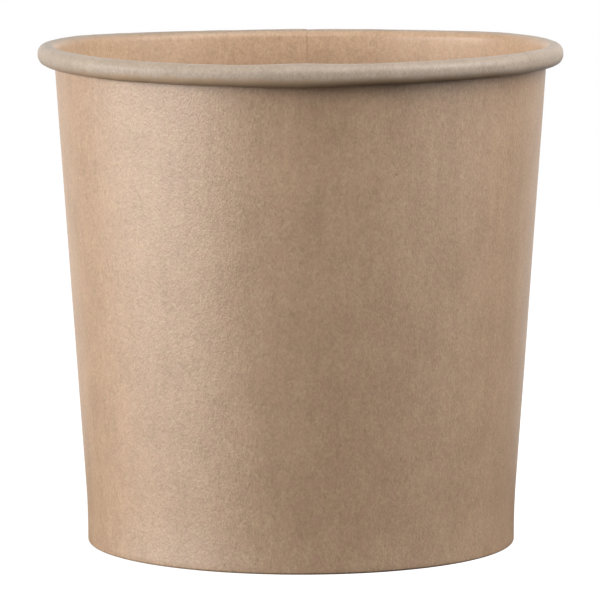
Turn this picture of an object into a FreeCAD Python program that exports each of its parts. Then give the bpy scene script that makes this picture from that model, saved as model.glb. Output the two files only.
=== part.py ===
import FreeCAD
import Part
import math
import os

# Paper ice cream tub of about 350 ml, made of kraft board.
#
# It is two pieces of board:
#   sidewall   one blank rolled into a cone, glued along an upright lap, curled outwards into
#              the rim bead, and folded inwards at the foot around the skirt of the base disc
#   base_disc  a round disc whose edge is turned down into a skirt
#
# Frame: millimetres, +Z up, origin on the ground at the centre of the foot. The plain front
# faces -Y, and the glued lap is at the back, near +Y.
#
# A section of the sidewall lies in the XZ plane, with X as the distance from the tub's axis.
# Its faces are numbered by ply: face 0 is the coated inside of the tub, face 1 is the far side
# of a single board, and face 2 is the far side of the second board, where the blank laps itself.

# Outline of the tub
rim_diameter = 90.0
foot_diameter = 73.75
tub_height = 85.7
foot_band_height = 2.1
foot_bend_radius = 110.0

# Board of the sidewall and the molten coating that glues it
board = 0.35
seal_film = 0.03
fold_radius = 0.08

# Rim bead, which is curled just wide enough for its edge to clear the lap
bead_side_height = 0.4
curl_bend_radius = 0.08
curl_clearance = 0.075
curl_edge_length = 0.8

# Glued lap: the azimuth of its inner raw edge, from +X towards +Y, and its width along the board
lap_edge_azimuth = 88.5
lap_width = 8.0

# The single board beside the lap is swept in this many equal sectors
plain_sectors = 6

# Base disc
base_board = 0.36
recess_depth = 5.6
base_corner_radius = 0.5
skirt_edge_gap = 0.12
hem_edge_gap = 0.5

# Worked out from the sizes above
lap_plies = 2
rim_radius = rim_diameter / 2
band_radius = foot_diameter / 2 - board
fold_gap = base_board + 2 * seal_film
hem_radius = band_radius - fold_gap
hem_edge_height = recess_depth - base_corner_radius - hem_edge_gap

curl_radius = lap_plies * board + curl_bend_radius
bead_radius = lap_plies * board + curl_radius + curl_clearance
bead_height = 2 * bead_radius + bead_side_height
bead_axis = rim_radius - bead_radius

axis_base = FreeCAD.Vector(0, 0, 0)
axis_up = FreeCAD.Vector(0, 0, 1)


def at(radius, height):
    """A point of a section."""
    return FreeCAD.Vector(radius, 0, height)


def line(start, end):
    """A straight edge of a section."""
    return Part.LineSegment(start, end).toShape()


def arc(centre, radius, start, end):
    """A round edge of a section, between two angles in degrees from +X towards +Z."""
    angles = [math.radians(a) for a in (start, (start + end) / 2, end)]
    points = [centre + at(radius * math.cos(a), radius * math.sin(a)) for a in angles]
    return Part.Arc(*points).toShape()


def joined(steps):
    """Edges that run through the given steps: a step is a round edge, or the end of a straight one."""
    edges = []
    last = steps[0]
    for step in steps[1:]:
        if isinstance(step, FreeCAD.Vector):
            edges.append(line(last, step))
            last = step
        else:
            edges.append(step)
            last = step.lastVertex(True).Point
    return edges


def wall_lean():
    """Lean of the straight wall from upright, in degrees, tangent to the foot bend and the bead."""
    across = bead_axis - (band_radius + foot_bend_radius)
    up = tub_height - bead_radius - foot_band_height
    reach = math.hypot(across, up)
    return math.degrees(math.atan2(across, up) + math.asin((foot_bend_radius - bead_radius) / reach))


def board_face(ply, plies):
    """One face of the sidewall's section, from the folded edge at the foot to the curled edge.

    ply counts faces outwards from the coated inside, and plies is how many boards lie there.
    """
    out = ply * board
    lean = wall_lean()
    fold_height = plies * board + fold_radius
    hem_fold = at(hem_radius + fold_radius, fold_height)
    wall_fold = at(band_radius - fold_radius, fold_height)
    foot_bend = at(band_radius + foot_bend_radius, foot_band_height)
    bead_top = at(bead_axis, tub_height - bead_radius)
    bead_low = at(bead_axis, tub_height - bead_height + bead_radius)
    curl = at(bead_axis, tub_height - bead_height + curl_radius)
    return joined([
        at(hem_radius - out, hem_edge_height),
        at(hem_radius - out, fold_height),
        arc(hem_fold, fold_radius + out, 180, 270),
        at(band_radius - fold_radius, fold_height - fold_radius - out),
        arc(wall_fold, fold_radius + out, 270, 360),
        at(band_radius + out, foot_band_height),
        arc(foot_bend, foot_bend_radius - out, 180, 180 - lean),
        bead_top + at(-math.cos(math.radians(lean)), math.sin(math.radians(lean))) * (bead_radius - out),
        arc(bead_top, bead_radius - out, 180 - lean, 0),
        at(rim_radius - out, bead_low.z),
        arc(bead_low, bead_radius - out, 0, -90),
        arc(curl, curl_radius - out, -90, -180),
        at(bead_axis - curl_radius + out, curl.z + curl_edge_length),
    ])


def board_section(inner, outer, plies):
    """Closed wire between two faces of the sidewall's section."""
    inside = board_face(inner, plies)
    outside = board_face(outer, plies)
    curl_edge = line(inside[-1].lastVertex(True).Point, outside[-1].lastVertex(True).Point)
    hem_edge = line(outside[0].firstVertex(True).Point, inside[0].firstVertex(True).Point)
    return Part.Wire(inside + [curl_edge] + outside[::-1] + [hem_edge])


def turned(shape, azimuth):
    """A copy of a shape, turned about the tub's axis."""
    copy = shape.copy()
    copy.rotate(axis_base, axis_up, azimuth)
    return copy


def swept(wire, start, angle):
    """Solid of a section turned about the tub's axis from one azimuth through an angle."""
    return turned(Part.Face(wire), start).revolve(axis_base, axis_up, angle)


def sidewall():
    """The rolled blank: single board all round, a lap of two boards, and the ramp onto the lap.

    The inner board of the lap ends at lap_edge_azimuth, where its raw edge shows inside the
    tub. The other end of the blank leaves the circle in a flat facet, rides over that edge and
    ends outside the tub, one lap further on.
    """
    single = board_section(0, 1, 1)
    lapped = board_section(0, lap_plies, lap_plies)
    riding = board_section(lap_plies - 1, lap_plies, lap_plies)
    mean_radius = (band_radius + bead_axis - bead_radius) / 2
    lap_angle = math.degrees(lap_width / mean_radius)
    ramp_angle = math.degrees(math.acos(mean_radius / (mean_radius + board)))
    ramp_start = lap_edge_azimuth - ramp_angle
    lap_end = lap_edge_azimuth + lap_angle
    sector_angle = (360 - lap_angle - ramp_angle) / plain_sectors
    sectors = [swept(single, lap_end + i * sector_angle, sector_angle) for i in range(plain_sectors)]
    lap = swept(lapped, lap_edge_azimuth, lap_angle)
    ramp = Part.makeLoft([turned(single, ramp_start), turned(riding, lap_edge_azimuth)], True, True)
    return lap.fuse([ramp] + sectors)


def base_disc():
    """The disc with its skirt turned down, in the fold of the sidewall's foot."""
    skirt_out = band_radius - seal_film
    skirt_in = skirt_out - base_board
    skirt_edge_height = lap_plies * board + skirt_edge_gap
    corner = at(skirt_in - base_corner_radius, recess_depth - base_corner_radius)
    edges = joined([
        at(0, recess_depth + base_board),
        at(corner.x, recess_depth + base_board),
        arc(corner, base_corner_radius + base_board, 90, 0),
        at(skirt_out, skirt_edge_height),
        at(skirt_in, skirt_edge_height),
        at(skirt_in, corner.z),
        arc(corner, base_corner_radius, 0, 90),
        at(0, recess_depth),
        at(0, recess_depth + base_board),
    ])
    return swept(Part.Wire(edges), 0, 360)


os.makedirs("parts", exist_ok=True)
for name, shape in (("sidewall", sidewall()), ("base_disc", base_disc())):
    shape.exportStep("parts/" + name + ".step")
    box = shape.optimalBoundingBox()
    print(name, "valid", shape.isValid(), "solids", len(shape.Solids), "faces", len(shape.Faces),
          "volume", round(shape.Volume, 1), "across", round(box.XLength, 2), round(box.YLength, 2),
          "from z", round(box.ZMin, 2), "to", round(box.ZMax, 2))
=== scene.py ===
import math
import bpy
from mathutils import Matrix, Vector


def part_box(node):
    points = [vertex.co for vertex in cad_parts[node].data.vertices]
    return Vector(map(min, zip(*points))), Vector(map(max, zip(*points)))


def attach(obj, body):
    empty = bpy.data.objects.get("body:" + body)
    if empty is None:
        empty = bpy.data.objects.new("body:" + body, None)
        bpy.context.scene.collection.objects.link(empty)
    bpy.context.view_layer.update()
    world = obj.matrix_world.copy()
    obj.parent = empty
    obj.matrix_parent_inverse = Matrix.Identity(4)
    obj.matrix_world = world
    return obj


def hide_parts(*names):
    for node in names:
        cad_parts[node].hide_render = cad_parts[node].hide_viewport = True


# Paper ice cream tub in kraft board: a rolled sidewall and a base disc
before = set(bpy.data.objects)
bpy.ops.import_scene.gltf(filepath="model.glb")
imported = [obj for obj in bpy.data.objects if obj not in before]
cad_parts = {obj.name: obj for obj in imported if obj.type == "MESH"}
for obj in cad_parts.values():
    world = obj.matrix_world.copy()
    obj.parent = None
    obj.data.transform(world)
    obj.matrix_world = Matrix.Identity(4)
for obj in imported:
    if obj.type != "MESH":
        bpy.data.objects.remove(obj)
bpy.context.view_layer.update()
mm = 0.001


# Small helpers for node trees

def addNode(tree, kind, inputs=None, **settings):
    made = tree.nodes.new(kind)
    for name, value in settings.items():
        setattr(made, name, value)
    for key, value in (inputs or {}).items():
        plug(tree, made.inputs[key], value)
    return made


def plug(tree, socket, value):
    if isinstance(value, bpy.types.NodeSocket):
        tree.links.new(value, socket)
    else:
        socket.default_value = value


def calc(tree, operation, *values):
    made = tree.nodes.new("ShaderNodeMath")
    made.operation = operation
    for socket, value in zip(made.inputs, values):
        plug(tree, socket, value)
    return made.outputs[0]


def vectorCalc(tree, operation, first, second=None):
    made = tree.nodes.new("ShaderNodeVectorMath")
    made.operation = operation
    plug(tree, made.inputs[0], first)
    if second is not None:
        plug(tree, made.inputs["Scale"] if operation == "SCALE" else made.inputs[1], second)
    return made.outputs["Value" if operation == "LENGTH" else "Vector"]


def easedShare(tree, value, low, high):  # 0 below low, 1 above high, smooth between
    made = addNode(tree, "ShaderNodeMapRange", interpolation_type="SMOOTHSTEP")
    for key, given in (("Value", value), ("From Min", low), ("From Max", high)):
        plug(tree, made.inputs[key], given)
    return made.outputs[0]


def mixColours(tree, share, first, second):
    made = addNode(tree, "ShaderNodeMix", data_type="RGBA")
    for index, given in ((0, share), (6, first), (7, second)):
        plug(tree, made.inputs[index], given)
    return made.outputs[2]


# Board surface, shared by every paper material

fibreGrain = {  # sizes in millimetres, and each noise by its detail, roughness and distortion
    "grainStretch": (1, 1, 0.7), "streakStretch": (1, 1, 0.12), "warmthShift": (40, 0, 0),
    "streakSize": 2.6, "warmthSize": 1.3, "fuzzSize": 0.32,
    "Cloud": (3.0, 0.5, 0.0), "Mottle": (4.0, 0.68, 0.5), "Streak": (3.0, 0.6, 0.0),
    "Warmth": (5.0, 0.75, 0.0), "Fuzz": (3.0, 0.62, 0.0),
    "fibreTurns": (0.35, -0.5, 1.4), "fibreCells": (3.2, 0.55, 1.0), "fibreFade": (0.05, 0.3),
    "speckCells": (0.5, 0.5, 1.0), "speckFade": (0.03, 0.11),
}

fibreDefaults = {"Cloud Size": 6.0, "Mottle Size": 0.6, "Fibre Share": 0.02, "Speck Share": 0.002}


def makeFibreGroup():
    g = fibreGrain
    group = bpy.data.node_groups.new("paperFibre", "ShaderNodeTree")
    face = group.interface
    for name, value in fibreDefaults.items():
        face.new_socket(name, in_out="INPUT", socket_type="NodeSocketFloat").default_value = value
    for name in ("Cloud", "Mottle", "Streak", "Warmth", "Fibre", "Speck", "Fuzz"):
        face.new_socket(name, in_out="OUTPUT", socket_type="NodeSocketFloat")
    given = group.nodes.new("NodeGroupInput").outputs
    out = group.nodes.new("NodeGroupOutput").inputs
    place = vectorCalc(group, "SCALE", addNode(group, "ShaderNodeTexCoord").outputs["Object"], 1 / mm)
    grain = vectorCalc(group, "MULTIPLY", place, g["grainStretch"])  # fibres lie a little more upright
    upright = vectorCalc(group, "MULTIPLY", place, g["streakStretch"])
    aside = vectorCalc(group, "ADD", grain, g["warmthShift"])
    board = vectorCalc(group, "SCALE", addNode(group, "ShaderNodeUVMap", uv_map="board").outputs[0], 1 / mm)

    noises = {
        "Cloud": (place, given["Cloud Size"]), "Mottle": (grain, given["Mottle Size"]),
        "Streak": (upright, g["streakSize"]), "Warmth": (aside, g["warmthSize"]),
        "Fuzz": (grain, g["fuzzSize"]),
    }
    for name, (at, size) in noises.items():
        detail, roughness, distortion = g[name]
        plug(group, out[name], addNode(group, "ShaderNodeTexNoise", {
            "Vector": at, "Scale": calc(group, "DIVIDE", 1.0, size), "Detail": detail,
            "Roughness": roughness, "Distortion": distortion}).outputs[0])

    def scattered(turn, stretch, share, fade):  # rare marks, one to a cell of the board
        lain = addNode(group, "ShaderNodeMapping", {
            "Vector": board, "Rotation": (0, 0, turn), "Scale": stretch}).outputs[0]
        cells = addNode(group, "ShaderNodeTexVoronoi", {
            "Vector": lain, "Scale": 1.0}, voronoi_dimensions="2D")
        chance = addNode(group, "ShaderNodeSeparateColor", {"Color": cells.outputs["Color"]}).outputs[0]
        near = calc(group, "SUBTRACT", 1.0, easedShare(group, cells.outputs["Distance"], *fade))
        return calc(group, "MULTIPLY", calc(group, "LESS_THAN", chance, share), near)

    fibres = 0.0
    for turn in g["fibreTurns"]:
        lain = scattered(turn, g["fibreCells"], given["Fibre Share"], g["fibreFade"])
        fibres = calc(group, "MAXIMUM", lain, fibres)
    plug(group, out["Fibre"], fibres)
    plug(group, out["Speck"], scattered(0.0, g["speckCells"], given["Speck Share"], g["speckFade"]))
    return group


fibreGroup = makeFibreGroup()

kraftLook = {
    "pale": (0.548, 0.376, 0.236, 1), "deep": (0.335, 0.219, 0.131, 1), "fleck": (0.150, 0.085, 0.045, 1),
    "rosy": (0.462, 0.278, 0.194, 1), "warmth": 0.5,
    "Cloud Size": 7.0, "Mottle Size": 0.7, "Fibre Share": 0.06, "Speck Share": 0.004,
    "roughness": (0.38, 0.50), "specular": 1.0, "fuzzLift": 0.048,
}

coatedLook = {
    "pale": (0.594, 0.412, 0.268, 1), "deep": (0.388, 0.262, 0.163, 1), "fleck": (0.180, 0.110, 0.065, 1),
    "rosy": (0.530, 0.340, 0.230, 1), "warmth": 0.55,
    "Cloud Size": 6.0, "Mottle Size": 0.7, "Fibre Share": 0.06, "Speck Share": 0.004,
    "roughness": (0.34, 0.48), "specular": 0.2, "fuzzLift": 0.022,
    # painted sheen: the bead's upper part takes a pale grey colour in place of the lamps' whitish gloss,
    # and below it the bead keeps a browner colour
    "beadSheenPale": (0.435, 0.362, 0.296, 1), "beadSheenDeep": (0.325, 0.262, 0.205, 1),
    "beadUnderside": (0.410, 0.285, 0.185, 1), "rolledSpan": (42.0, 43.0), "beadSheenHeights": (82.3, 83.5),
    "beadSheenShare": 0.88, "rolledRough": 0.10, "raggedEdge": 1.2,
    "lipHeights": (83.6, 85.0), "lipCoat": 0.3, "coatRoughness": 0.3,  # pressed glossier at the lip
}

cutEdgeLook = {
    "pale": (0.560, 0.400, 0.270, 1), "deep": (0.330, 0.210, 0.125, 1), "fleck": (0.2, 0.13, 0.08, 1),
    "rosy": (0.50, 0.34, 0.23, 1), "warmth": 0.3,
    "Cloud Size": 3.0, "Mottle Size": 0.25, "Fibre Share": 0.15, "Speck Share": 0.004,
    "roughness": (0.80, 0.95), "specular": 0.3, "fuzzLift": 0.06,
}

boardMix = {  # how much each noise moves the colour, and how strong the marks and the bump are
    "tones": {"Mottle": 0.32, "Fuzz": 0.40, "Cloud": 0.16, "Streak": 0.12},
    "toneSpan": (0.35, 0.65), "warmthSpan": (0.35, 0.65), "fibreMark": 0.14, "speckMark": 0.75,
    "mottleLift": 0.7,
}


def makeBoard(name, look):
    material = bpy.data.materials.new(name)
    material.use_nodes = True
    tree = material.node_tree
    shader = tree.nodes["Principled BSDF"]
    group = addNode(tree, "ShaderNodeGroup", node_tree=fibreGroup)
    for key in fibreDefaults:
        group.inputs[key].default_value = look[key]
    fibre = group.outputs
    mix = boardMix
    tone = 0.0
    for key, share in mix["tones"].items():
        tone = calc(tree, "MULTIPLY_ADD", fibre[key], share, tone)
    tone = easedShare(tree, tone, *mix["toneSpan"])
    colour = mixColours(tree, tone, look["deep"], look["pale"])
    rosy = calc(tree, "MULTIPLY", easedShare(tree, fibre["Warmth"], *mix["warmthSpan"]), look["warmth"])
    colour = mixColours(tree, rosy, colour, look["rosy"])
    for key, strength in (("Fibre", mix["fibreMark"]), ("Speck", mix["speckMark"])):
        colour = mixColours(tree, calc(tree, "MULTIPLY", fibre[key], strength), colour, look["fleck"])
    if "rolledSpan" in look:  # painted sheen on the bead: pale grey over its upper part, browner underneath
        place = addNode(tree, "ShaderNodeTexCoord").outputs["Object"]
        radius = vectorCalc(tree, "LENGTH", vectorCalc(tree, "MULTIPLY", place, (1 / mm, 1 / mm, 0)))
        height = addNode(tree, "ShaderNodeSeparateXYZ", {0: place}).outputs["Z"]
        height = calc(tree, "MULTIPLY", height, 1 / mm)
        edge = look["raggedEdge"]
        ragged = calc(tree, "ADD", height, calc(tree, "MULTIPLY_ADD", fibre["Streak"], edge, -edge / 2))
        curled = easedShare(tree, radius, *look["rolledSpan"])
        rolled = mixColours(tree, tone, look["beadSheenDeep"], look["beadSheenPale"])
        # painted sheen, lighter on the bead's top where the lamps' gloss falls, with a ragged edge above
        # the browner underside
        upper = easedShare(tree, ragged, *look["beadSheenHeights"])
        rolled = mixColours(tree, upper, look["beadUnderside"], rolled)
        colour = mixColours(tree, calc(tree, "MULTIPLY", curled, look["beadSheenShare"]), colour, rolled)
        glossy = easedShare(tree, height, *look["lipHeights"])
        plug(tree, shader.inputs["Coat Weight"], calc(tree, "MULTIPLY", glossy, look["lipCoat"]))
        shader.inputs["Coat Roughness"].default_value = look["coatRoughness"]
    tree.links.new(colour, shader.inputs["Base Color"])
    low, high = look["roughness"]
    rough = calc(tree, "MULTIPLY_ADD", fibre["Mottle"], high - low, low)
    if "rolledSpan" in look:
        rough = calc(tree, "MULTIPLY_ADD", curled, look["rolledRough"], rough)
    plug(tree, shader.inputs["Roughness"], rough)
    shader.inputs["Specular IOR Level"].default_value = look["specular"]
    lift = calc(tree, "MULTIPLY_ADD", fibre["Mottle"], mix["mottleLift"], fibre["Fuzz"])
    bump = addNode(tree, "ShaderNodeBump", {"Height": lift, "Distance": look["fuzzLift"] * mm})
    tree.links.new(bump.outputs[0], shader.inputs["Normal"])
    return material


kraftOutside = makeBoard("kraftOutside", kraftLook)
coatedInside = makeBoard("coatedInside", coatedLook)
cutBoardEdge = makeBoard("cutBoardEdge", cutEdgeLook)
print("materials made:", kraftOutside.name, coatedInside.name, cutBoardEdge.name)


# Sections of board, each between two faces that run through the same stretches. A stretch is a straight
# one, given by its two ends, or an arc, given by its centre, radius and two angles.

def arcPoint(centre, radius, angle):
    turn = math.radians(angle)
    return (centre[0] + radius * math.cos(turn), centre[1] + radius * math.sin(turn))


def pointsOf(face, stretches):
    points = []
    for name, (steps, *_) in stretches.items():
        for step in range(1 if points else 0, steps + 1):
            share = step / steps
            if len(face[name]) == 2:
                (startX, startZ), (endX, endZ) = face[name]
                points.append((startX + (endX - startX) * share, startZ + (endZ - startZ) * share))
            else:
                centre, radius, start, end = face[name]
                points.append(arcPoint(centre, radius, start + (end - start) * share))
    return points


def sharesOf(stretches, which):
    shares = []
    for steps, *spans in stretches.values():
        start, end = spans[which]
        shares += [start + (end - start) * step / steps for step in range(1 if shares else 0, steps + 1)]
    return shares


def metresBetween(first, second):
    return [((b[0] - a[0]) * mm, 0, (b[1] - a[1]) * mm) for a, b in zip(first, second)]


# A strip's kind picks its material, and a closed end adds its own, which counts as cut
kinds = {"coated": 0, "kraft": 1, "cut": 2, "end": 5}


def makeSection(name, faceOf, stretches):
    # The loop runs along the inside and back along the outside, which starts out lying on the inside
    inside, outside = [pointsOf(faceOf(ply, 1), stretches) for ply in (0, 1)]
    raised = [pointsOf(faceOf(ply, 2), stretches) for ply in (0, 1)]
    perPly = metresBetween(inside, outside)
    perBoard = metresBetween(inside, raised[0]) + metresBetween(outside, raised[1])[::-1]
    lumpy, grooved, pressed = [sharesOf(stretches, which) for which in range(3)]
    along = [0.0]
    for a, b in zip(inside, inside[1:]):
        along.append(along[-1] + math.dist(a, b) * mm)
    coated, kraft, cut = [[kinds[kind]] for kind in ("coated", "kraft", "cut")]
    strips = len(inside) - 1
    fields = {
        "perPly": ("FLOAT_VECTOR", perPly + perPly[::-1]),
        "perBoard": ("FLOAT_VECTOR", perBoard),
        "along": ("FLOAT", along + along[::-1]),
        "lumpy": ("FLOAT", lumpy + lumpy[::-1]),
        "grooved": ("FLOAT", [0.0] * len(grooved) + grooved[::-1]),
        "pressed": ("FLOAT", pressed + pressed[::-1]),
        "face": ("FLOAT", [0.0] * len(inside) + [1.0] * len(outside)),
        "kind": ("INT", coated * strips + cut + kraft * strips + cut),
    }
    loop = inside + inside[::-1]
    edges = [(i, (i + 1) % len(loop)) for i in range(len(loop))]
    mesh = bpy.data.meshes.new(name)
    mesh.from_pydata([(x * mm, 0, z * mm) for x, z in loop], edges, [])
    for field, (kind, values) in fields.items():
        stored = mesh.attributes.new(field, kind, "POINT")
        for item, value in zip(stored.data, values):
            setattr(item, "vector" if kind == "FLOAT_VECTOR" else "value", value)
    section = bpy.data.objects.new(name, mesh)
    bpy.context.scene.collection.objects.link(section)
    return section


# Geometry Nodes tree that rolls a section of board about the tub's axis

rollInputs = {
    "Columns": ("NodeSocketInt", 361), "Seed": ("NodeSocketFloat", 1.0),
    "Close Ends": ("NodeSocketBool", False), "Flat Pattern": ("NodeSocketBool", False),
    "First Azimuth": ("NodeSocketFloat", 0.0), "Turn": ("NodeSocketFloat", math.tau),
    "Lap": ("NodeSocketFloat", 0.0), "Ramp": ("NodeSocketFloat", 0.0), "Settle": ("NodeSocketFloat", 0.1),
    "Lap Press": ("NodeSocketFloat", 0.0), "Lean": ("NodeSocketFloat", 0.0),
    "Lump Lift": ("NodeSocketFloat", 0.0), "Lump Length": ("NodeSocketFloat", 0.003),
    "Sway": ("NodeSocketFloat", 0.0), "Sway Length": ("NodeSocketFloat", 0.03),
    "Groove Depth": ("NodeSocketFloat", 0.0), "Groove Count": ("NodeSocketFloat", 78.0),
    "Around Radius": ("NodeSocketFloat", 0.0365),
}

unevenGrain = {"detail": 2.0, "roughness": 0.5, "swayShift": 5.0}
weldDistance = 1e-6  # metres


def makeRollTree():
    tree = bpy.data.node_groups.new("rolledBoard", "GeometryNodeTree")
    tree.interface.new_socket("Section", in_out="INPUT", socket_type="NodeSocketGeometry")
    for name, (kind, value) in rollInputs.items():
        tree.interface.new_socket(name, in_out="INPUT", socket_type=kind).default_value = value
    tree.interface.new_socket("Board", in_out="OUTPUT", socket_type="NodeSocketGeometry")
    given = tree.nodes.new("NodeGroupInput").outputs
    rows = addNode(tree, "GeometryNodeAttributeDomainSize", {
        "Geometry": given["Section"]}).outputs["Point Count"]

    # A plain tube of rows and columns
    path = addNode(tree, "GeometryNodeCurvePrimitiveLine", {"End": (1, 0, 0)}).outputs[0]
    path = addNode(tree, "GeometryNodeResampleCurve", {"Curve": path, "Count": given["Columns"]}).outputs[0]
    ring = addNode(tree, "GeometryNodeCurvePrimitiveCircle", {"Resolution": rows}).outputs["Curve"]
    tube = addNode(tree, "GeometryNodeCurveToMesh",
                   {"Curve": path, "Profile Curve": ring, "Fill Caps": given["Close Ends"]}).outputs[0]

    # What each of its points and strips takes from the section
    index = addNode(tree, "GeometryNodeInputIndex").outputs[0]
    row, column = [addNode(tree, "FunctionNodeIntegerMath", {0: index, 1: rows}, operation=way).outputs[0]
                   for way in ("MODULO", "DIVIDE_FLOOR")]

    def named(field, kind):
        return addNode(tree, "GeometryNodeInputNamedAttribute", {
            "Name": field}, data_type=kind).outputs["Attribute"]

    def fromSection(value, kind="FLOAT_VECTOR"):
        return addNode(tree, "GeometryNodeSampleIndex", {
            "Geometry": given["Section"], "Value": value, "Index": row},
            data_type=kind, domain="POINT").outputs[0]

    perPly = fromSection(named("perPly", "FLOAT_VECTOR"))
    perBoard = fromSection(named("perBoard", "FLOAT_VECTOR"))
    flat = fromSection(addNode(tree, "GeometryNodeInputPosition").outputs[0])
    lumpy, grooved, pressed, face = [fromSection(named(field, "FLOAT"), "FLOAT")
                                     for field in ("lumpy", "grooved", "pressed", "face")]
    last = calc(tree, "SUBTRACT", given["Columns"], 1.0)
    turned = calc(tree, "MULTIPLY", given["Turn"], calc(tree, "DIVIDE", column, last))
    azimuth = calc(tree, "ADD", given["First Azimuth"], turned)

    # The blank's end leaves the circle in a flat facet and rides over its start, one board higher
    toRamp = calc(tree, "SUBTRACT", calc(tree, "SUBTRACT", given["Turn"], given["Lap"]), given["Ramp"])
    onRamp = addNode(tree, "ShaderNodeClamp", {
        "Value": calc(tree, "SUBTRACT", turned, toRamp), "Min": 0.0, "Max": given["Ramp"]}).outputs[0]
    rise, fullRise = [calc(tree, "SUBTRACT", calc(tree, "DIVIDE", 1.0, calc(tree, "COSINE", angle)), 1.0)
                      for angle in (onRamp, given["Ramp"])]
    ply = calc(tree, "DIVIDE", rise, fullRise)
    settled = easedShare(tree, turned, given["Lap"], calc(tree, "ADD", given["Lap"], given["Settle"]))
    lifted = calc(tree, "MAXIMUM", ply, calc(tree, "SUBTRACT", 1.0, settled))
    nearLap = easedShare(tree, turned, calc(tree, "SUBTRACT", toRamp, given["Settle"]), toRamp)
    nearLap = calc(tree, "MAXIMUM", nearLap, calc(tree, "SUBTRACT", 1.0, settled))
    squeeze = calc(tree, "MULTIPLY", calc(tree, "MULTIPLY", nearLap, pressed), given["Lap Press"])
    depth = calc(tree, "MULTIPLY", calc(tree, "ADD", face, ply), calc(tree, "SUBTRACT", 1.0, squeeze))
    flat = vectorCalc(tree, "ADD", flat, vectorCalc(tree, "SCALE", perPly, depth))
    flat = vectorCalc(tree, "ADD", flat, vectorCalc(tree, "SCALE", perBoard, lifted))

    def aroundAxis(vector):
        parts = addNode(tree, "ShaderNodeSeparateXYZ", {0: vector}).outputs
        return addNode(tree, "ShaderNodeCombineXYZ", {
            "X": calc(tree, "MULTIPLY", parts["X"], calc(tree, "COSINE", azimuth)),
            "Y": calc(tree, "MULTIPLY", parts["X"], calc(tree, "SINE", azimuth)),
            "Z": parts["Z"]}).outputs[0]

    place = aroundAxis(flat)

    # Lumps and pressed grooves lie across the board, and the sway is the whole wall out of round
    def uneven(length, shift):
        noise = addNode(tree, "ShaderNodeTexNoise", {
            "Vector": place, "Scale": calc(tree, "DIVIDE", 1.0, length), "Detail": unevenGrain["detail"],
            "Roughness": unevenGrain["roughness"], "W": calc(tree, "ADD", given["Seed"], shift)},
            noise_dimensions="4D").outputs[0]
        return calc(tree, "MULTIPLY_ADD", noise, 2.0, -1.0)

    outward = aroundAxis(vectorCalc(tree, "SCALE", vectorCalc(tree, "NORMALIZE", perPly), -1.0))
    lumps = calc(tree, "MULTIPLY", uneven(given["Lump Length"], 0.0), given["Lump Lift"])
    lumps = calc(tree, "MULTIPLY", lumps, lumpy)
    wave = calc(tree, "COSINE", calc(tree, "MULTIPLY", azimuth, given["Groove Count"]))
    grooves = calc(tree, "MULTIPLY", calc(tree, "MULTIPLY_ADD", wave, 0.5, 0.5), given["Groove Depth"])
    grooves = calc(tree, "MULTIPLY", grooves, grooved)
    sway = calc(tree, "MULTIPLY", uneven(given["Sway Length"], unevenGrain["swayShift"]), given["Sway"])
    sidewise = addNode(tree, "ShaderNodeCombineXYZ", {
        "X": calc(tree, "COSINE", azimuth), "Y": calc(tree, "SINE", azimuth)}).outputs[0]
    moved = vectorCalc(tree, "ADD", vectorCalc(tree, "SCALE", outward, calc(tree, "ADD", lumps, grooves)),
                       vectorCalc(tree, "SCALE", sidewise, sway))
    height = addNode(tree, "ShaderNodeSeparateXYZ", {0: place}).outputs["Z"]
    leaning = calc(tree, "MULTIPLY", height, given["Lean"])
    moved = vectorCalc(tree, "ADD", moved, addNode(tree, "ShaderNodeCombineXYZ", {"X": leaning}).outputs[0])

    # The strips' kinds and the board's UV, in metres around the tub and along its section
    lastStrip = calc(tree, "MULTIPLY", rows, last)
    closing = calc(tree, "GREATER_THAN", index, calc(tree, "SUBTRACT", lastStrip, 0.5))
    kind = calc(tree, "MULTIPLY_ADD", closing, kinds["end"], fromSection(named("kind", "INT"), "INT"))
    around = calc(tree, "MULTIPLY", turned, given["Around Radius"])
    rolled = addNode(tree, "ShaderNodeCombineXYZ", {
        "X": around, "Y": fromSection(named("along", "FLOAT"), "FLOAT")}).outputs[0]
    spread = addNode(tree, "GeometryNodeSwitch", {
        "Switch": given["Flat Pattern"], "False": rolled, "True": place}, input_type="VECTOR").outputs[0]

    def store(board, field, value, dataType, domain):
        return addNode(tree, "GeometryNodeStoreNamedAttribute", {
            "Geometry": board, "Name": field, "Value": value}, data_type=dataType, domain=domain).outputs[0]

    board = store(tube, "kind", kind, "INT", "FACE")
    board = store(board, "spread", spread, "FLOAT_VECTOR", "POINT")
    board = addNode(tree, "GeometryNodeSetPosition", {
        "Geometry": board, "Position": place, "Offset": moved}).outputs[0]
    board = store(board, "board", named("spread", "FLOAT_VECTOR"), "FLOAT2", "CORNER")
    fullRound = addNode(tree, "FunctionNodeBooleanMath", {
        0: given["Close Ends"]}, operation="NOT").outputs[0]
    board = addNode(tree, "GeometryNodeMergeByDistance", {
        "Geometry": board, "Selection": fullRound, "Distance": weldDistance}).outputs[0]
    cut = calc(tree, "GREATER_THAN", named("kind", "INT"), kinds["cut"] - 0.5)
    board = addNode(tree, "GeometryNodeSetShadeSmooth", {
        "Geometry": board, "Shade Smooth": calc(tree, "SUBTRACT", 1.0, cut)}).outputs[0]
    board = addNode(tree, "GeometryNodeRealizeInstances", {"Geometry": board}).outputs[0]
    kraft = calc(tree, "GREATER_THAN", named("kind", "INT"), kinds["kraft"] - 0.5)
    for material, selection in ((coatedInside, True), (kraftOutside, kraft), (cutBoardEdge, cut)):
        board = addNode(tree, "GeometryNodeSetMaterial", {
            "Geometry": board, "Selection": selection, "Material": material}).outputs[0]
    plug(tree, tree.nodes.new("NodeGroupOutput").inputs["Board"], board)
    return tree


rollTree = makeRollTree()


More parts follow.
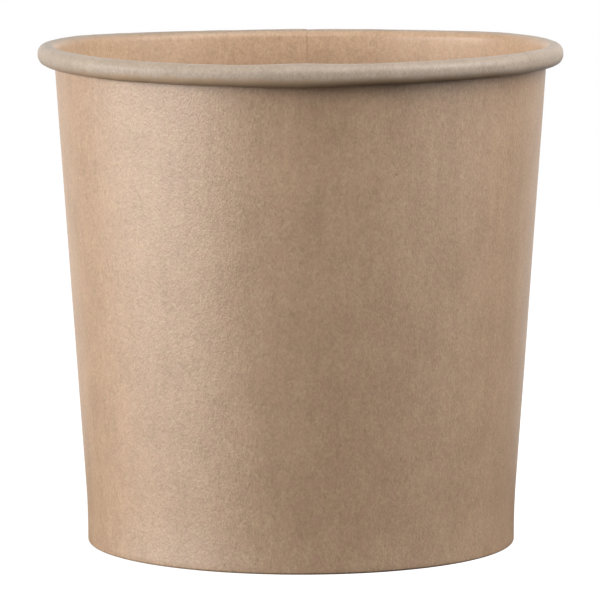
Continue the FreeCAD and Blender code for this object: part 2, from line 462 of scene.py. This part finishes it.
def rollBoard(name, section, values):
    modifier = section.modifiers.new("rolledBoard", "NODES")
    modifier.node_group = rollTree
    for item in rollTree.interface.items_tree:
        if item.name in values:
            modifier[item.identifier] = values[item.name]
    section.update_tag()
    bpy.context.view_layer.update()
    mesh = bpy.data.meshes.new_from_object(section.evaluated_get(bpy.context.evaluated_depsgraph_get()))
    section.modifiers.remove(modifier)
    bpy.data.objects.remove(section)
    for helper in ("kind", "spread"):
        mesh.attributes.remove(mesh.attributes[helper])
    piece = bpy.data.objects.new(name, mesh)
    bpy.context.scene.collection.objects.link(piece)
    triangles = sum(len(face.vertices) - 2 for face in mesh.polygons)
    print(name, "made:", len(mesh.vertices), "points,", triangles, "triangles")
    return piece


# Sidewall

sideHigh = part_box("sidewall")[1]
discLow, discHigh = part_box("base_disc")

sidewallSizes = {  # millimetres, lapEdge in degrees, lapSettle in radians, lapPress and lean as shares
    "rimRadius": sideHigh.x / mm, "height": sideHigh.z / mm, "skirtRadius": discHigh.x / mm,
    "board": 0.35, "sealFilm": 0.03, "foldRadius": 0.08, "hemTop": 4.6, "hemGap": 0.42,
    "footBand": 2.1, "footBend": 110.0,
    "beadRadius": 1.555, "beadSide": 0.4, "curlRadius": 0.78, "curlEdge": 0.8,
    "lapEdge": 88.5, "lapWidth": 8.0, "lapSettle": 0.1, "lapPress": 0.85, "lean": -0.0015,
    "lumpLift": 0.16, "lumpLength": 5.0, "sway": 0.10, "swayLength": 45.0,
    "grooveDepth": 0.12, "grooveCount": 78.0, "columns": 561, "seed": 3.0,
}

# Each stretch has its steps, and from start to end how lumpy, grooved and pressed together it is
sidewallStretches = {
    "hemLeg": (8, (0.0, 0.0), (0.0, 1.0), (0.2, 0.2)),
    "hemFold": (4, (0.0, 0.0), (1.0, 0.0), (0.2, 0.2)),
    "footRing": (1, (0.0, 0.0), (0.0, 0.0), (0.2, 0.2)),
    "wallFold": (6, (0.0, 0.0), (0.0, 0.0), (0.2, 0.2)),
    "footBand": (2, (0.0, 0.0), (0.0, 0.0), (0.2, 0.2)),
    "footBend": (4, (0.0, 0.0), (0.0, 0.0), (0.2, 0.2)),
    "wall": (20, (0.0, 0.1), (0.0, 0.0), (0.3, 0.8)),
    "beadTop": (16, (0.1, 0.7), (0.0, 0.0), (0.8, 1.0)),
    "beadSide": (2, (0.7, 1.0), (0.0, 0.0), (1.0, 1.0)),
    "beadLow": (8, (1.0, 1.0), (0.0, 0.0), (1.0, 1.0)),
    "curl": (5, (1.0, 0.4), (0.0, 0.0), (1.0, 1.0)),
    "curlEdge": (2, (0.4, 0.2), (0.0, 0.0), (1.0, 1.0)),
}


# ply counts faces outwards from the coated inside, and boards is how many boards lie there
def sidewallFace(ply, boards):
    s = sidewallSizes
    out = ply * s["board"]
    band = s["skirtRadius"] + s["sealFilm"]
    hem = band - s["hemGap"]
    fold = s["foldRadius"]
    foldHeight = boards * s["board"] + fold
    bead = s["beadRadius"]
    axis = s["rimRadius"] - bead
    beadTop = (axis, s["height"] - bead)
    beadLow = (axis, beadTop[1] - s["beadSide"])
    curl = (axis, beadLow[1] - bead + s["curlRadius"])
    edge = axis - s["curlRadius"] + out
    footBend = (band + s["footBend"], s["footBand"])
    across, up = axis - footBend[0], beadTop[1] - footBend[1]
    lean = math.degrees(math.atan2(across, up) + math.asin((s["footBend"] - bead) / math.hypot(across, up)))
    return {
        "hemLeg": [(hem - out, s["hemTop"]), (hem - out, foldHeight)],
        "hemFold": [(hem + fold, foldHeight), fold + out, 180, 270],
        "footRing": [(hem + fold, foldHeight - fold - out), (band - fold, foldHeight - fold - out)],
        "wallFold": [(band - fold, foldHeight), fold + out, 270, 360],
        "footBand": [(band + out, foldHeight), (band + out, s["footBand"])],
        "footBend": [footBend, s["footBend"] - out, 180, 180 - lean],
        "wall": [arcPoint(footBend, s["footBend"] - out, 180 - lean),
                 arcPoint(beadTop, bead - out, 180 - lean)],
        "beadTop": [beadTop, bead - out, 180 - lean, 0],
        "beadSide": [(s["rimRadius"] - out, beadTop[1]), (s["rimRadius"] - out, beadLow[1])],
        "beadLow": [beadLow, bead - out, 0, -90],
        "curl": [curl, s["curlRadius"] - out, -90, -180],
        "curlEdge": [(edge, curl[1]), (edge, curl[1] + s["curlEdge"])],
    }


def makeSidewall():
    s = sidewallSizes
    band = s["skirtRadius"] + s["sealFilm"]
    middleRadius = (band + s["rimRadius"] - 2 * s["beadRadius"]) / 2
    lap = s["lapWidth"] / middleRadius
    return rollBoard("tub_sidewall", makeSection("sidewallSection", sidewallFace, sidewallStretches), {
        "Columns": s["columns"], "Close Ends": True, "Seed": s["seed"],
        "Around Radius": s["skirtRadius"] * mm,
        "First Azimuth": math.radians(s["lapEdge"]), "Turn": math.tau + lap, "Lap": lap,
        "Ramp": math.acos(middleRadius / (middleRadius + s["board"])), "Settle": s["lapSettle"],
        "Lap Press": s["lapPress"], "Lean": s["lean"],
        "Lump Lift": s["lumpLift"] * mm, "Lump Length": s["lumpLength"] * mm,
        "Sway": s["sway"] * mm, "Sway Length": s["swayLength"] * mm,
        "Groove Depth": s["grooveDepth"] * mm, "Groove Count": s["grooveCount"],
    })


# The rim bead isn't even: where its curl is looser it swells about its middle, and it waves up and down.
# Bearings and widths are in degrees, from the front towards the right, and swells and lifts in millimetres.
rimDents = [
    {"bearing": 0, "width": 9.0, "swell": 0.25, "lift": 0.02},
    {"bearing": -14, "width": 40.0, "swell": 0.0, "lift": -0.50},
    {"bearing": -46, "width": 16.0, "swell": 0.0, "lift": -0.10},
    {"bearing": -90, "width": 34.0, "swell": 0.0, "lift": 0.30},
    {"bearing": 90, "width": 42.0, "swell": 0.0, "lift": 0.40},
    {"bearing": 125, "width": 20.0, "swell": 0.0, "lift": 0.28},
    {"bearing": -118, "width": 10.0, "swell": 0.0, "lift": 0.12},
    {"bearing": -163, "width": 24.0, "swell": 0.0, "lift": -0.16},
]

rimFade = {"wall": 9.0, "swell": 1.5}  # how far below the bead each still moves, in millimetres


def clamped(share):
    return min(max(share, 0.0), 1.0)


def dentRim(piece):
    s = sidewallSizes
    middle = (s["rimRadius"] - s["beadRadius"], s["height"] - s["beadRadius"] - s["beadSide"] / 2)
    beadFoot = middle[1] - s["beadRadius"]
    for point in piece.data.vertices:
        x, y, z = point.co / mm
        share = clamped((z - beadFoot) / rimFade["wall"] + 1)
        if share == 0.0:
            continue
        share = share * share * (3 - 2 * share)
        bearing = math.degrees(math.atan2(x, -y))
        swell = lift = 0.0
        for dent in rimDents:
            apart = (bearing - dent["bearing"] + 180) % 360 - 180
            near = share * math.exp(-(apart / dent["width"]) ** 2)
            swell += dent["swell"] * near
            lift += dent["lift"] * near
        radius = math.hypot(x, y)
        spread = clamped((z - beadFoot) / rimFade["swell"] + 1) * swell / s["beadRadius"]
        outward = spread * (radius - middle[0]) / radius
        point.co += Vector((x * outward, y * outward, spread * (z - middle[1]) + lift)) * mm


sidewall = makeSidewall()
dentRim(sidewall)
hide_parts("sidewall")
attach(sidewall, "root")


# Base disc

discSizes = {  # millimetres
    "floorTop": discHigh.z / mm, "skirtEdge": discLow.z / mm, "board": 0.36, "corner": 0.5, "columns": 361,
    "lumpLift": 0.10, "lumpLength": 14.0, "grooveDepth": 0.08, "grooveCount": 60.0, "seed": 8.0,
}

discStretches = {
    "floor": (30, (0.3, 0.6), (0.0, 0.0), (0.0, 0.0)),
    "rim": (3, (0.6, 0.4), (0.0, 0.2), (0.0, 0.0)),
    "corner": (5, (0.4, 0.0), (0.2, 1.0), (0.0, 0.0)),
    "skirt": (4, (0.0, 0.0), (1.0, 0.6), (0.0, 0.0)),
}


def discFace(ply, boards):
    s = discSizes
    out = ply * s["board"]
    rim = sidewallSizes["skirtRadius"] - s["board"] - s["corner"]
    middle = (rim, s["floorTop"] - s["board"] - s["corner"])
    creased = rim - 3 * s["corner"]
    level = s["floorTop"] - out
    edge = sidewallSizes["skirtRadius"] - out
    return {
        "floor": [(0, level), (creased, level)],
        "rim": [(creased, level), (rim, level)],
        "corner": [middle, s["corner"] + s["board"] - out, 90, 0],
        "skirt": [(edge, middle[1]), (edge, s["skirtEdge"])],
    }


def makeDisc():
    s = discSizes
    return rollBoard("tub_base_disc", makeSection("discSection", discFace, discStretches), {
        "Columns": s["columns"], "Seed": s["seed"], "Flat Pattern": True,
        "Lump Lift": s["lumpLift"] * mm, "Lump Length": s["lumpLength"] * mm,
        "Groove Depth": s["grooveDepth"] * mm, "Groove Count": s["grooveCount"],
    })


disc = makeDisc()
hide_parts("base_disc")
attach(disc, "root")


# Floor and background: white to the camera, with the tub's soft shadow

backdropSpan = (0.55, 0.9)  # share of the way straight back at which the backdrop starts and is full
roomLook = {"fill": 0.035}
floorLook = {"reach": 0.65, "shade": 0.25, "glow": 0.92, "bounce": (0.03, 0.03, 0.03, 1)}


def isSeen(tree, towards):  # white to the camera, and to a sheen that mirrors the backdrop behind the tub
    rays = addNode(tree, "ShaderNodeLightPath").outputs
    towards = vectorCalc(tree, "NORMALIZE", towards)
    back = addNode(tree, "ShaderNodeSeparateXYZ", {0: towards}).outputs["Y"]
    mirrored = calc(tree, "MULTIPLY", rays["Is Glossy Ray"], easedShare(tree, back, *backdropSpan))
    seen = calc(tree, "MAXIMUM", rays["Is Camera Ray"], mirrored)
    return calc(tree, "MAXIMUM", seen, rays["Is Transmission Ray"])


def makeFloor():
    reach = floorLook["reach"]
    mesh = bpy.data.meshes.new("studioFloor")
    corners = [(-reach, -reach, 0), (reach, -reach, 0), (reach, reach, 0), (-reach, reach, 0)]
    mesh.from_pydata(corners, [], [(0, 1, 2, 3)])
    floor = bpy.data.objects.new("studio_floor", mesh)
    bpy.context.scene.collection.objects.link(floor)
    material = bpy.data.materials.new("studioFloor")
    material.use_nodes = True
    tree = material.node_tree
    tree.nodes.clear()
    spot = addNode(tree, "ShaderNodeTexCoord").outputs["Object"]
    bounce = addNode(tree, "ShaderNodeBsdfDiffuse", {"Color": floorLook["bounce"]}).outputs[0]
    shade = addNode(tree, "ShaderNodeBsdfDiffuse", {"Color": (floorLook["shade"],) * 3 + (1,)}).outputs[0]
    glow = addNode(tree, "ShaderNodeEmission", {"Strength": floorLook["glow"]}).outputs[0]
    seen = addNode(tree, "ShaderNodeAddShader", {0: shade, 1: glow}).outputs[0]
    mixed = addNode(tree, "ShaderNodeMixShader", {0: isSeen(tree, spot), 1: bounce, 2: seen}).outputs[0]
    addNode(tree, "ShaderNodeOutputMaterial", {"Surface": mixed})
    mesh.materials.append(material)


def makeWorld():
    world = bpy.data.worlds.new("studioWorld")
    world.use_nodes = True
    bpy.context.scene.world = world
    tree = world.node_tree
    tree.nodes.clear()
    towards = addNode(tree, "ShaderNodeTexCoord").outputs["Generated"]
    dim, white = [addNode(tree, "ShaderNodeBackground", {
        "Color": (1, 1, 1, 1), "Strength": strength}).outputs[0] for strength in (roomLook["fill"], 1.0)]
    mixed = addNode(tree, "ShaderNodeMixShader", {0: isSeen(tree, towards), 1: dim, 2: white}).outputs[0]
    addNode(tree, "ShaderNodeOutputWorld", {"Surface": mixed})


makeFloor()
makeWorld()
print("floor and background made")


# Softboxes, each by its bearing from the camera's side of the tub, its height and its size in metres

softboxes = {
    "softbox_left": {"bearing": -72, "height": 0.24, "distance": 1.1, "size": (1.3, 0.5), "power": 19.6},
    "softbox_right": {"bearing": 74, "height": 0.28, "distance": 0.42, "size": (0.40, 0.40), "power": 2.4},
    "softbox_front": {"bearing": -8, "height": 0.32, "distance": 0.26, "size": (0.30, 0.20), "power": 0.34},
    "softbox_high": {"bearing": 60, "height": 0.80, "distance": 0.40, "size": (0.6, 0.4), "power": 2.4},
}


def aimAt(thing, target):
    thing.rotation_euler = (target - thing.location).to_track_quat("-Z", "Y").to_euler()


def makeSoftboxes():
    middle = Vector((0, 0, sideHigh.z / 2))
    for name, box in softboxes.items():
        lamp = bpy.data.lights.new(name, "AREA")
        lamp.shape = "RECTANGLE"
        lamp.size, lamp.size_y = box["size"]
        lamp.energy = box["power"]
        holder = bpy.data.objects.new(name, lamp)
        bearing, distance = math.radians(box["bearing"]), box["distance"]
        holder.location = (math.sin(bearing) * distance, -math.cos(bearing) * distance, box["height"])
        aimAt(holder, middle)
        bpy.context.scene.collection.objects.link(holder)


makeSoftboxes()
print("softboxes made:", len(softboxes))


# Camera: long lens, a little above the rim, and the tub's place in the 600 by 600 picture

cameraView = {
    "distance": 19.16 * sideHigh.x, "elevation": 6.68, "focalPixels": 5002.0,
    "picture": 600.0, "sensor": 36.0, "tubAcross": 301.1, "tubDown": 293.04,
}


def makeCamera():
    view = cameraView
    lens = bpy.data.cameras.new("pictureCamera")
    lens.sensor_width = view["sensor"]
    lens.lens = view["focalPixels"] / view["picture"] * view["sensor"]
    lens.shift_x = (view["picture"] / 2 - view["tubAcross"]) / view["picture"]
    lens.shift_y = (view["tubDown"] - view["picture"] / 2) / view["picture"]
    lens.clip_start = 0.01
    camera = bpy.data.objects.new("picture_camera", lens)
    lift = math.radians(view["elevation"])
    middle = Vector((0, 0, sideHigh.z / 2))
    camera.location = middle + Vector((0, -math.cos(lift), math.sin(lift))) * view["distance"]
    aimAt(camera, middle)
    bpy.context.scene.collection.objects.link(camera)
    bpy.context.scene.camera = camera


makeCamera()
bpy.context.scene.view_settings.view_transform = "Standard"
print("camera set")
